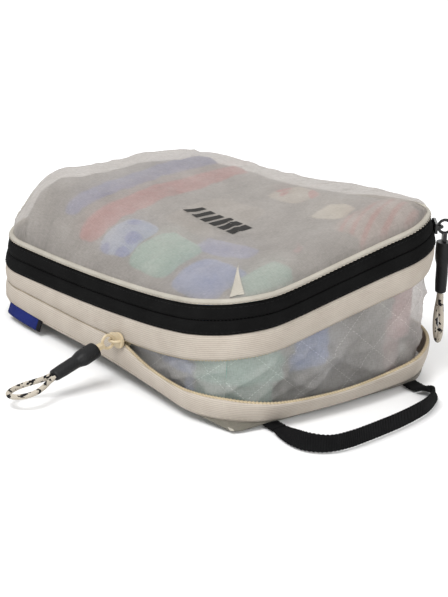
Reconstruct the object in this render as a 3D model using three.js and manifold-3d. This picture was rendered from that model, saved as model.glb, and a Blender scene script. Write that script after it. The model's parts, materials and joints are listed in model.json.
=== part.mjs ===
// A compression packing cube: a soft rectangular pouch with a zipped lid, and a second zip
// round its middle that is partly open and shows the expansion gusset behind it.
// Millimetres, +Z up. The origin is the centre of the flat floor of the base.
// +X runs along the long side, towards the carry handle; -Y is the front.
import * as THREE from "three";
import { mergeVertices } from "three/addons/utils/BufferGeometryUtils.js";
import Module from "manifold-3d";

// ---- Driving dimensions -------------------------------------------------------------------
const HALF_X = 128; // half the length of the zipped bands
const HALF_Y = 91; // half their width
const CORNER_R = 42; // corner radius of the bands
const FABRIC = 1.0; // modelled thickness of the ripstop
const TAPE = 1.2; // modelled thickness of a zip tape
const CLEAR = 0.4; // gap between touching pieces
const BAND = 18.5; // height of the main zip: two tapes and two coils
const COIL_GAP = 2; // between the two coils of a closed zip
const OPENING_EASE = 1.6; // how softly the lower line leaves the closed zip
const COIL_H = 2.0;
const COIL_T = 2.4;
const PIPING = 3.6;
const STEPS_PER_STATION = 5;

// Stations round the outline, anticlockwise from above: 0 is the middle of the front right
// corner, 4 the back right, 8 the back left and 12 the front left corner.
const STATIONS = 16;
// Height of the compression zip's lower teeth line where the zip stands open, station by station.
const TEETH_Z = [16, 12.5, 12, 16, 22, 24, 22, 21, 24.5, 27, 27, 27, 27, 27, 30.5, 18];
// Height of its upper teeth line. Where the lower line would come nearer, the zip is closed.
const UPPER_Z = [43, 49, 57, 64.5, 70, 62, 46.5, 36, 28.5, 26, 25.5, 24.5, 23, 24.2, 26.1, 32];
// Height of the upper compression tape, which tucks under the main band on the left.
const UPPER_TAPE = [15, 15, 15, 15, 15, 15, 15, 15, 13, 11, 10, 9.5, 9, 10.5, 13.5, 15];
// Height of the lower tape's hem, and how far its hem and its teeth lean outwards.
const HEM_Z = [6, 5, 5, 5.5, 7, 8, 9, 9.5, 10, 10, 10, 10, 10, 9, 10, 8];
const HEM_OUT = [1, 4, 6, 4, 1, 0, 0, 0, 0, 0, 0, 0, 0, 0, 0, 0];
const TEETH_OUT = [3, 8, 9, 7, 4, 2, 0, 0, 0, 0, 0, 0, 0, 0, 0, 1];
// The base's floor stands inside the bands along X and along Y, with sharper sewn corners.
const BASE_IN_X = [-1, -1, -1, 0, 2, 4, 6, 8, 10, 11, 12, 13, 13, 9, 5, 1];
const BASE_IN_Y = [8, 8, 8, 8, 8, 8, 8, 8, 9, 10, 11, 12, 14, 14, 13, 10];
const BASE_CORNER_R = [10, 12, 16, 22, 26, 28, 30, 32, 34, 36, 38, 36, 34, 26, 18, 12];
// Height of the lid's shoulder above its piping.
const SHOULDER_Z = [9, 11, 11, 11, 12.5, 7, 10, 15, 22, 26, 26, 27, 28, 26, 22, 13];
const LID_CENTRE_Z = 97;

// ---- Outline ------------------------------------------------------------------------------
// A closed Catmull-Rom curve through the station values.
function around(values, t) {
  const k = Math.floor(t);
  const f = t - k;
  const [a, b, c, d] = [-1, 0, 1, 2].map((i) => values[(k + i + 2 * STATIONS) % STATIONS]);
  return b + 0.5 * f * (c - a + f * (2 * a - 5 * b + 4 * c - d + f * (3 * (b - c) + d - a)));
}

// Half a corner's share of the way from one corner's middle to the next.
function cornerShare(side) {
  const half = side % 2 ? HALF_X : HALF_Y;
  const arc = (Math.PI / 4) * CORNER_R;
  return arc / (2 * arc + 2 * (half - CORNER_R));
}

// Point and outward normal at t on a rounded rectangle of half sizes (a, b) and radius r.
function outline(t, a, b, r) {
  const wrapped = ((t % STATIONS) + STATIONS) % STATIONS;
  const side = Math.floor(wrapped / 4);
  const s = wrapped / 4 - side;
  const share = cornerShare(side);
  const [dx, dy] = [[1, 0], [0, 1], [-1, 0], [0, -1]][side]; // outward
  const [tx, ty] = [-dy, dx]; // along the side
  const out = side % 2 ? b : a;
  const reach = (side % 2 ? a : b) - r;
  if (s < share || s > 1 - share) {
    const end = s < 0.5 ? -1 : 1;
    const turn = end * (Math.PI / 4) * ((s < 0.5 ? share - s : s - 1 + share) / share);
    const n = [dx * Math.cos(turn) + tx * Math.sin(turn), dy * Math.cos(turn) + ty * Math.sin(turn)];
    const centre = [dx * (out - r) + tx * end * reach, dy * (out - r) + ty * end * reach];
    return { x: centre[0] + r * n[0], y: centre[1] + r * n[1], n };
  }
  const along = ((s - share) / (1 - 2 * share)) * 2 * reach - reach;
  return { x: dx * out + tx * along, y: dy * out + ty * along, n: [dx, dy] };
}

// Point on the bands' outline, `off` outside it, at height z.
function bandPoint(t, off, z) {
  const p = outline(t, HALF_X, HALF_Y, CORNER_R);
  return new THREE.Vector3(p.x + off * p.n[0], p.y + off * p.n[1], z);
}

function basePoint(t, inset, z) {
  const [inX, inY, r] = [BASE_IN_X, BASE_IN_Y, BASE_CORNER_R].map((values) => around(values, t));
  const p = outline(t, HALF_X - inX, HALF_Y - inY, r);
  return new THREE.Vector3(p.x - inset * p.n[0], p.y - inset * p.n[1], z);
}

// Heights of the rows, each from the one below.
const upperTeethZ = (t) => around(UPPER_Z, t);
function teethZ(t) {
  // The lower of the two lines, eased from one to the other where the zip starts to open.
  const open = around(TEETH_Z, t);
  const closed = upperTeethZ(t) - COIL_GAP;
  return (open + closed - Math.hypot(open - closed, OPENING_EASE)) / 2;
}
const hemZ = (t) => around(HEM_Z, t);
const bandZ = (t) => upperTeethZ(t) + around(UPPER_TAPE, t);
const mainZ = (t) => bandZ(t) + BAND / 2; // middle of the main zip
const lidZ = (t) => bandZ(t) + BAND + CLEAR;

// ---- Solids -------------------------------------------------------------------------------
function solid(points, triangles) {
  const position = new Float32Array(points.flatMap((p) => [p.x, p.y, p.z]));
  let volume = 0;
  for (const [i, j, k] of triangles) {
    volume += points[i].dot(points[j].clone().cross(points[k]));
  }
  const index = triangles.flatMap(([i, j, k]) => (volume < 0 ? [i, k, j] : [i, j, k]));
  const geometry = new THREE.BufferGeometry();
  geometry.setAttribute("position", new THREE.BufferAttribute(position, 3));
  geometry.setIndex(index);
  geometry.computeVertexNormals();
  return geometry;
}

// Joins equal sections, each a convex polygon, into one solid: a closed ring, or a capped length.
function loft(sections, ring) {
  const n = sections[0].length;
  const triangles = [];
  const last = ring ? sections.length : sections.length - 1;
  for (let i = 0; i < last; i++) {
    const a = i * n;
    const b = ((i + 1) % sections.length) * n;
    for (let j = 0; j < n; j++) {
      const k = (j + 1) % n;
      triangles.push([a + j, b + j, b + k], [a + j, b + k, a + k]);
    }
  }
  if (!ring) {
    const end = (sections.length - 1) * n;
    for (let j = 1; j < n - 1; j++) {
      triangles.push([0, j, j + 1], [end, end + j + 1, end + j]);
    }
  }
  return solid(sections.flat(), triangles);
}

// A skin over the whole outline: outer and inner rings from the rim to the middle.
function shell(outer, inner, outerMiddle, innerMiddle) {
  const n = outer[0].length;
  const points = [...outer.flat(), ...inner.flat(), outerMiddle, innerMiddle];
  const triangles = [];
  const join = (a, b) => {
    for (let j = 0; j < n; j++) {
      const k = (j + 1) % n;
      triangles.push([a + j, a + k, b + k], [a + j, b + k, b + j]);
    }
  };
  const innerStart = outer.length * n;
  for (let i = 0; i < outer.length - 1; i++) {
    join(i * n, (i + 1) * n);
    join(innerStart + (i + 1) * n, innerStart + i * n);
  }
  join(innerStart, 0);
  const middle = points.length - 2;
  for (let j = 0; j < n; j++) {
    const k = (j + 1) % n;
    const [o, m] = [(outer.length - 1) * n, innerStart + (inner.length - 1) * n];
    triangles.push([o + j, o + k, middle], [m + k, m + j, middle + 1]);
  }
  return solid(points, triangles);
}

function samples(from = 0, to = STATIONS) {
  const count = Math.round((to - from) * STEPS_PER_STATION);
  const ring = to - from === STATIONS;
  return Array.from({ length: ring ? count : count + 1 }, (_, i) => from + ((to - from) * i) / count);
}

// A strip of `thick` material between two rows; its outer face follows low(t) and high(t).
function strip(low, high, thick, from, to) {
  const sections = samples(from, to).map((t) => {
    const { n } = outline(t, HALF_X, HALF_Y, CORNER_R);
    const inwards = new THREE.Vector3(-n[0] * thick, -n[1] * thick, 0);
    const [a, b] = [low(t), high(t)];
    return [a, b, b.clone().add(inwards), a.clone().add(inwards)];
  });
  return loft(sections, to === undefined);
}

// ---- Materials ----------------------------------------------------------------------------
const finish = (color, roughness, metalness = 0) =>
  new THREE.MeshStandardMaterial({ color, roughness, metalness });
const ripstop = finish(0xaaa59e, 0.6);
const ivoryTape = finish(0xcdc3b6, 0.85);
const ivoryCoil = finish(0xc9bea9, 0.5);
const blackTape = finish(0x232423, 0.8);
const blackCoil = finish(0x161616, 0.45);
const pipingCloth = finish(0xc4bfb2, 0.7);
const webbing = finish(0x1b1b1c, 0.85);
const labelCloth = finish(0x19236a, 0.7);
const ivoryMetal = finish(0xe1d2b4, 0.4, 0.2);
const blackMetal = finish(0x1a1a1b, 0.4, 0.4);
const sleeve = finish(0x1e1f20, 0.45);
const cordage = finish(0xd8cbb6, 0.8);
const ink = finish(0x3c3835, 0.6);

const cube = new THREE.Group();

function add(name, geometry, material) {
  const mesh = new THREE.Mesh(geometry, material);
  mesh.name = name;
  cube.add(mesh);
  return mesh;
}

// ---- Base ---------------------------------------------------------------------------------
const RIM_Z = 1.2; // the floor's edge is rolled up to its seam
function basePanel() {
  const rings = [[0, RIM_Z], [5, 0]];
  const ring = ([inset, z], lift) => samples().map((t) => basePoint(t, inset, z + lift));
  return shell(
    rings.map((r) => ring(r, 0)),
    rings.map((r) => ring(r, FABRIC)),
    new THREE.Vector3(0, 0, 0),
    new THREE.Vector3(0, 0, FABRIC),
  );
}
add("base_panel", basePanel(), ripstop);

// The base wall stands on the floor's edge and ends under the lower tape's hem.
const WALL_FOOT = RIM_Z + FABRIC + CLEAR;
const wallTop = (t) => hemZ(t) - CLEAR;
add(
  "base_wall",
  strip(
    (t) => basePoint(t, 0.5, WALL_FOOT),
    (t) => bandPoint(t, around(HEM_OUT, t), wallTop(t)),
    FABRIC,
  ),
  ripstop,
);

// Lower compression tape, leaning out where the zip is open, with its coil on the teeth line.
const coilLow = (t) => teethZ(t) - COIL_H;
add(
  "lower_compression_tape",
  strip(
    (t) => bandPoint(t, around(HEM_OUT, t), hemZ(t)),
    (t) => bandPoint(t, around(TEETH_OUT, t), coilLow(t) - CLEAR),
    TAPE,
  ),
  ivoryTape,
);

function coil(z, off, from, to) {
  const outside = (COIL_T - TAPE) / 2;
  return strip(
    (t) => bandPoint(t, off(t) + outside, z(t)),
    (t) => bandPoint(t, off(t) + outside, z(t) + COIL_H),
    COIL_T,
    from,
    to,
  );
}
const COMPRESSION_FROM = 8.5; // the zip runs from the back left corner, round the left and front,
const COMPRESSION_TO = 24; // to the back left corner again
const teethOut = (t) => around(TEETH_OUT, t);
add("lower_compression_coil", coil(coilLow, teethOut, COMPRESSION_FROM, COMPRESSION_TO), ivoryCoil);

// The gusset hangs behind both tapes, from the base wall to the main zip.
const GUSSET_IN = 5.5; // behind the bands, clear of the slider's back plate
const gussetLow = (t) => hemZ(t) + 1;
const gussetHigh = (t) => bandZ(t) - 2;
add(
  "expansion_gusset",
  strip(
    (t) => bandPoint(t, around(HEM_OUT, t) - GUSSET_IN, gussetLow(t)),
    (t) => bandPoint(t, -GUSSET_IN, gussetHigh(t)),
    FABRIC,
  ),
  ripstop,
);

// ---- Upper ring: upper compression tape and the lower half of the main zip ------------------
add(
  "upper_compression_tape",
  strip(
    (t) => bandPoint(t, 0, upperTeethZ(t) + COIL_H + CLEAR),
    (t) => bandPoint(t, 0, bandZ(t)),
    TAPE,
  ),
  ivoryTape,
);
add("upper_compression_coil", coil(upperTeethZ, () => 0, COMPRESSION_FROM, COMPRESSION_TO), ivoryCoil);

const MAIN_FROM = 8.6; // the main zip leaves out the back side, which is the lid's hinge
const MAIN_TO = 20.6;
const COIL_END = 20.17; // the slider is parked on the last of the coils
const lowerCoilZ = (t) => mainZ(t) - COIL_GAP / 2 - COIL_H;
const upperCoilZ = (t) => mainZ(t) + COIL_GAP / 2;
add(
  "main_lower_tape",
  strip(
    (t) => bandPoint(t, 0, bandZ(t) + CLEAR),
    (t) => bandPoint(t, 0, lowerCoilZ(t) - CLEAR),
    TAPE,
    MAIN_FROM,
    MAIN_TO,
  ),
  blackTape,
);
add("main_lower_coil", coil(lowerCoilZ, () => 0, MAIN_FROM, COIL_END), blackCoil);
add(
  "back_hinge_strip",
  strip(
    (t) => bandPoint(t, 0, bandZ(t) + CLEAR),
    (t) => bandPoint(t, 0, lidZ(t) - 2 * CLEAR),
    TAPE,
    MAIN_TO - STATIONS + 0.05,
    MAIN_FROM - 0.05,
  ),
  ivoryTape,
);

// ---- Lid ----------------------------------------------------------------------------------
add(
  "main_upper_tape",
  strip(
    (t) => bandPoint(t, 0, upperCoilZ(t) + COIL_H + CLEAR),
    (t) => bandPoint(t, 0, lidZ(t) - CLEAR),
    TAPE,
    MAIN_FROM,
    MAIN_TO,
  ),
  blackTape,
);
add("main_upper_coil", coil(upperCoilZ, () => 0, MAIN_FROM, COIL_END), blackCoil);
add(
  "lid_piping",
  strip((t) => bandPoint(t, 0.6, lidZ(t)), (t) => bandPoint(t, -0.4, lidZ(t) + PIPING), 3),
  pipingCloth,
);

// Rings of the lid: [inset, scale towards the middle, share of the shoulder, share of the middle].
const LID_RINGS = [
  [1, 1, 0, 0],
  [4, 1, 0.34, 0],
  [10, 1, 0.68, 0],
  [20, 1, 1, 0],
  [20, 0.8, 1, 0.6],
  [20, 0.55, 1, 1],
];
function lidPoint(t, [inset, scale, shoulder, middle], drop) {
  const rim = lidZ(t) + PIPING + CLEAR;
  const z = rim + around(SHOULDER_Z, t) * shoulder;
  const p = bandPoint(t, -inset - drop * (scale < 1 ? 0 : 1), z + (LID_CENTRE_Z - z) * middle);
  p.x *= scale;
  p.y *= scale;
  p.z -= shoulder === 0 ? 0 : drop;
  return p;
}
const SEAM = 1.2; // modelled thickness of a sewn seam allowance
add(
  "lid_panel",
  shell(
    LID_RINGS.map((r) => samples().map((t) => lidPoint(t, r, 0))),
    LID_RINGS.map((r) => samples().map((t) => lidPoint(t, r, FABRIC))),
    new THREE.Vector3(0, 0, LID_CENTRE_Z),
    new THREE.Vector3(0, 0, LID_CENTRE_Z - FABRIC),
  ),
  ripstop,
);

// A narrow strip on the inside of the lid, down each corner: the seam allowance of its dart.
function lidCornerSeam(corner) {
  const half = 0.14;
  const inside = FABRIC + 1;
  const sections = LID_RINGS.slice(1, 4).map((r) => {
    const [a, b] = [corner - half, corner + half].map((t) => lidPoint(t, r, inside));
    const [c, d] = [corner + half, corner - half].map((t) => lidPoint(t, r, inside + SEAM));
    return [a, b, c, d];
  });
  return loft(sections, false);
}
// The base's corners are sewn the same way, inside the wall.
function baseCornerSeam(corner) {
  const half = 0.12;
  const inside = FABRIC + CLEAR + 1;
  const sections = [WALL_FOOT, wallTop(corner)].map((z, i) => {
    const at = (t, more) =>
      i === 0
        ? basePoint(t, inside + more, z)
        : bandPoint(t, around(HEM_OUT, t) - inside - more, z);
    return [at(corner - half, 0), at(corner + half, 0), at(corner + half, SEAM), at(corner - half, SEAM)];
  });
  return loft(sections, false);
}
const CORNERS = { front_right: 0, back_right: 4, back_left: 8, front_left: 12 };
for (const [name, t] of Object.entries(CORNERS)) {
  add("lid_corner_seam_" + name, lidCornerSeam(t), pipingCloth);
  add("base_corner_seam_" + name, baseCornerSeam(t), pipingCloth);
}

// ---- Trim ---------------------------------------------------------------------------------
// A flat strip along hand-placed stations: each has a centre and the direction of its width.
function webbingStrip(stations, width, thick) {
  const centres = stations.map((s) => new THREE.Vector3(...s.at));
  const path = new THREE.CatmullRomCurve3(centres, false, "centripetal");
  const steps = (stations.length - 1) * 3;
  const sections = Array.from({ length: steps + 1 }, (_, i) => {
    const f = (i / steps) * (stations.length - 1);
    const k = Math.min(Math.floor(f), stations.length - 2);
    const across = new THREE.Vector3(...stations[k].across)
      .lerp(new THREE.Vector3(...stations[k + 1].across), f - k)
      .normalize();
    const centre = path.getPoint(i / steps);
    const normal = path.getTangent(i / steps).cross(across).normalize();
    return [[-1, -1], [1, -1], [1, 1], [-1, 1]].map(([a, b]) =>
      centre.clone().addScaledVector(across, (a * width) / 2).addScaledVector(normal, (b * thick) / 2),
    );
  });
  return loft(sections, false);
}

// The carry handle leaves from under the hem of the right side and turns on edge in a wide loop.
const HANDLE_W = 11;
const HANDLE_T = 1.6;
const HANDLE_X = 139; // where it leaves the hem, and its hinge line
const HANDLE_Z = 1.6;
const HANDLE_Y = [-54, 58]; // middles of its two sewn ends
const ON_EDGE_Z = 6.3; // the loop stands on its lower edge
const handleStations = [
  { at: [HANDLE_X, HANDLE_Y[0], HANDLE_Z], across: [0, 1, 0] },
  { at: [147, -56.5, 2.6], across: [-0.15, 1, 0.3] },
  { at: [158, -59, 4.6], across: [-0.4, 0.75, 0.75] },
  { at: [169, -58, 6], across: [-0.25, 0.2, 1] },
  { at: [177.5, -50, ON_EDGE_Z], across: [0, 0, 1] },
  { at: [179.5, -36, ON_EDGE_Z], across: [0, 0, 1] },
  { at: [177.5, -14, ON_EDGE_Z], across: [0, 0, 1] },
  { at: [173.5, 12, ON_EDGE_Z], across: [0, 0, 1] },
  { at: [167, 36, ON_EDGE_Z], across: [0, 0, 1] },
  { at: [158, 51, 6.2], across: [-0.1, -0.1, 1] },
  { at: [148, 57, 4.2], across: [-0.3, -0.8, 0.6] },
  { at: [HANDLE_X, HANDLE_Y[1], HANDLE_Z], across: [0, -1, 0] },
];
add("handle_webbing", webbingStrip(handleStations, HANDLE_W, HANDLE_T), webbing);
const HANDLE_TAB_TO = HANDLE_X - 1.3; // leaves room for the webbing's end to swing up
HANDLE_Y.forEach((y, i) => {
  const tab = new THREE.BoxGeometry(HANDLE_TAB_TO - 130, HANDLE_W, HANDLE_T);
  const mesh = add(["handle_tab_front", "handle_tab_back"][i], tab, webbing);
  mesh.position.set((HANDLE_TAB_TO + 130) / 2, y, HANDLE_Z);
});

// Woven side label, folded into the hem near the front left corner.
const LABEL_FROM = 12.42;
const LABEL_TO = 13.05;
add(
  "side_label",
  strip(
    (t) => bandPoint(t, 1.8, hemZ(t) - 5),
    (t) => bandPoint(t, 1.8, hemZ(t) + 1.4),
    0.8,
    LABEL_FROM,
    LABEL_TO,
  ),
  labelCloth,
);

// Generic printed mark on the lid.
const PRINT_AT = [27, -20];
const PRINT_SIZE = [52, 13];
const print = add("lid_print", new THREE.BoxGeometry(...PRINT_SIZE, 0.4), ink);
print.position.set(PRINT_AT[0], PRINT_AT[1], LID_CENTRE_Z + 0.2 + CLEAR);

// Fabric tabs over the ends of the zips.
function zipTab(t, z, height) {
  return strip((u) => bandPoint(u, 2.6, z), (u) => bandPoint(u, 2.6, z + height), 1, t, t + 0.25);
}
add("main_zip_end_tab", zipTab(MAIN_TO - 0.25, mainZ(MAIN_TO) - 5, 10), blackTape);
add("compression_zip_stop", zipTab(COMPRESSION_FROM - 0.25, teethZ(8.4) - 4, 9), ivoryTape);

// ---- Sliders and their pulls ----------------------------------------------------------------
const SLIDER_L = 13;
const PLATE_T = 1.5;
const PLATE_GAP = 4.2; // between the slider's two plates
const BAIL_R = 4.2; // reach of the loop that holds the pull's ring
const RING_AT = 1.7; // the ring's wire passes this far in front of the plate
const wasm = await Module();
wasm.setup();

function toManifold(geometry) {
  const bare = geometry.index ? geometry.toNonIndexed() : geometry.clone();
  bare.deleteAttribute("normal");
  bare.deleteAttribute("uv");
  const merged = mergeVertices(bare, 1e-4);
  return new wasm.Manifold(
    new wasm.Mesh({
      numProp: 3,
      vertProperties: merged.attributes.position.array,
      triVerts: new Uint32Array(merged.index.array),
    }),
  );
}

function join(geometries) {
  const mesh = geometries.map(toManifold).reduce((a, b) => a.add(b)).getMesh();
  const geometry = new THREE.BufferGeometry();
  geometry.setAttribute("position", new THREE.BufferAttribute(mesh.vertProperties, 3));
  geometry.setIndex(new THREE.BufferAttribute(mesh.triVerts, 1));
  geometry.computeVertexNormals();
  return geometry;
}

// A slider in its own frame: +X is the way that it closes, +Z points away from the bag.
// `backTop` is how far up its back plate reaches over the coils.
function sliderGeometry(backTop) {
  const plate = (z, top) => {
    const edge = new THREE.Shape();
    edge.moveTo(-SLIDER_L / 2, -3.2);
    edge.lineTo(1, -5);
    edge.quadraticCurveTo(SLIDER_L / 2, -5, SLIDER_L / 2, 0);
    edge.quadraticCurveTo(SLIDER_L / 2, top, 1, top);
    edge.lineTo(-SLIDER_L / 2, top * 0.64);
    edge.closePath();
    return new THREE.ExtrudeGeometry(edge, { depth: PLATE_T, bevelEnabled: false, curveSegments: 4 })
      .translate(0, 0, z);
  };
  const post = new THREE.BoxGeometry(4, 0.6, PLATE_GAP + 1).translate(3.5, 0, 0);
  const root = PLATE_GAP / 2 + 0.5; // the bail's two ends stand inside the front plate
  const arch = Array.from({ length: 9 }, (_, i) => (i / 8) * Math.PI).map(
    (a) => new THREE.Vector3(BAIL_R * Math.cos(a), 0, root + (PLATE_T - 0.5 + BAIL_R) * Math.sin(a)),
  );
  const wire = new THREE.Shape();
  wire.absarc(0, 0, 0.9, 0, 2 * Math.PI);
  const bail = new THREE.ExtrudeGeometry(wire, {
    steps: 10,
    curveSegments: 6,
    bevelEnabled: false,
    extrudePath: new THREE.CatmullRomCurve3(arch),
  });
  return join([plate(PLATE_GAP / 2, 5), plate(-PLATE_GAP / 2 - PLATE_T, backTop), post, bail]);
}

// A pull in its own frame: its ring's centre is the origin and it hangs along -Y.
const RING_R = 4.2;
const RING_WIRE = 1;
const CRIMP_L = 5; // flat neck that joins the ring to the sleeve
const SLEEVE_L = 33;
const CORD_D = 3.4;
const LOOP_L = 30;
const SLEEVE_TOP = RING_R + CRIMP_L + CLEAR;
function pullRing() {
  return join([
    new THREE.TorusGeometry(RING_R, RING_WIRE, 6, 14).rotateY(Math.PI / 2),
    new THREE.BoxGeometry(5, CRIMP_L, 2.4).translate(0, -RING_R - CRIMP_L / 2, 0),
  ]);
}
function pullSleeve() {
  const profile = [[5.7, 0], [5.9, 9], [4.8, 15], [4.4, SLEEVE_L]];
  const points = [[0, 0], ...profile, [0, SLEEVE_L]].map(([x, y]) => new THREE.Vector2(x, -y));
  return new THREE.LatheGeometry(points.reverse(), 10)
    .scale(1, 1, 0.8)
    .translate(0, -SLEEVE_TOP, 0);
}
const LOOP_TOP = SLEEVE_TOP + SLEEVE_L + CLEAR;
// One side of the cord loop, from the sleeve to its tip.
const LOOP_SIDE = [[2, 0], [3.2, -5], [6.4, -12], [8, -19], [6.8, -25.5], [2.8, -LOOP_L]];
function pullCord(lift) {
  const sides = [...LOOP_SIDE.map(([x, y]) => [-x, y]), ...[...LOOP_SIDE].reverse()];
  const loopPoints = sides.map(
    ([x, y]) => new THREE.Vector3(x, y - LOOP_TOP, lift * (y / LOOP_L) ** 2),
  );
  const section = new THREE.Shape();
  section.absarc(0, 0, CORD_D / 2, 0, 2 * Math.PI);
  return new THREE.ExtrudeGeometry(section, {
    steps: 24,
    curveSegments: 8,
    bevelEnabled: false,
    extrudePath: new THREE.CatmullRomCurve3(loopPoints, false, "centripetal"),
  });
}

// Places a slider: its closing direction, outward normal and centre; then its pull.
function place(object, x, z, at) {
  const y = z.clone().cross(x);
  object.quaternion.setFromRotationMatrix(new THREE.Matrix4().makeBasis(x, y, z));
  object.position.copy(at);
}

// `along` is the way that the pull lies, and `lift` how far its cord's tip curves up from that.
function addSlider(name, { at, closing, outward }, metal, backTop, along, lift) {
  place(add(name + "_slider_body", sliderGeometry(backTop), metal), closing, outward, at);
  const pull = new THREE.Group();
  const pieces = [
    ["ring", pullRing(), metal],
    ["sleeve", pullSleeve(), sleeve],
    ["cord", pullCord(lift), cordage],
  ];
  for (const [piece, geometry, material] of pieces) {
    const mesh = new THREE.Mesh(geometry, material);
    mesh.name = name + "_pull_" + piece;
    pull.add(mesh);
  }
  const y = along.clone().addScaledVector(closing, -along.dot(closing)).negate().normalize();
  const centre = at.clone().addScaledVector(outward, PLATE_GAP / 2 + PLATE_T + RING_AT + RING_R);
  place(pull, closing, closing.clone().cross(y), centre);
  cube.add(pull);
}

const COMPRESSION_SLIDER_T = 14.45;
const MAIN_SLIDER_T = 20.17;
function sliderFrame(t, z) {
  const [before, after] = [z(t - 0.1), z(t + 0.1)].map((h, i) => bandPoint(t + 0.2 * i - 0.1, 0, h));
  const closing = after.sub(before).normalize();
  const { n } = outline(t, HALF_X, HALF_Y, CORNER_R);
  const outward = new THREE.Vector3(n[0], n[1], 0);
  outward.addScaledVector(closing, -outward.dot(closing)).normalize();
  return { closing, outward, at: bandPoint(t, -TAPE / 2, z(t)) };
}
const compression = sliderFrame(COMPRESSION_SLIDER_T, (t) => upperTeethZ(t) - COIL_GAP / 2);
addSlider("compression", compression, ivoryMetal, 5, new THREE.Vector3(0, -1, -0.33), 4);
// The main slider's back plate stops at the coils' middle, so that the lid's coil can leave it.
const main = sliderFrame(MAIN_SLIDER_T, mainZ);
addSlider("main", main, blackMetal, 0.6, new THREE.Vector3(0, 0, -1), 0);

export default cube;
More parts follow.
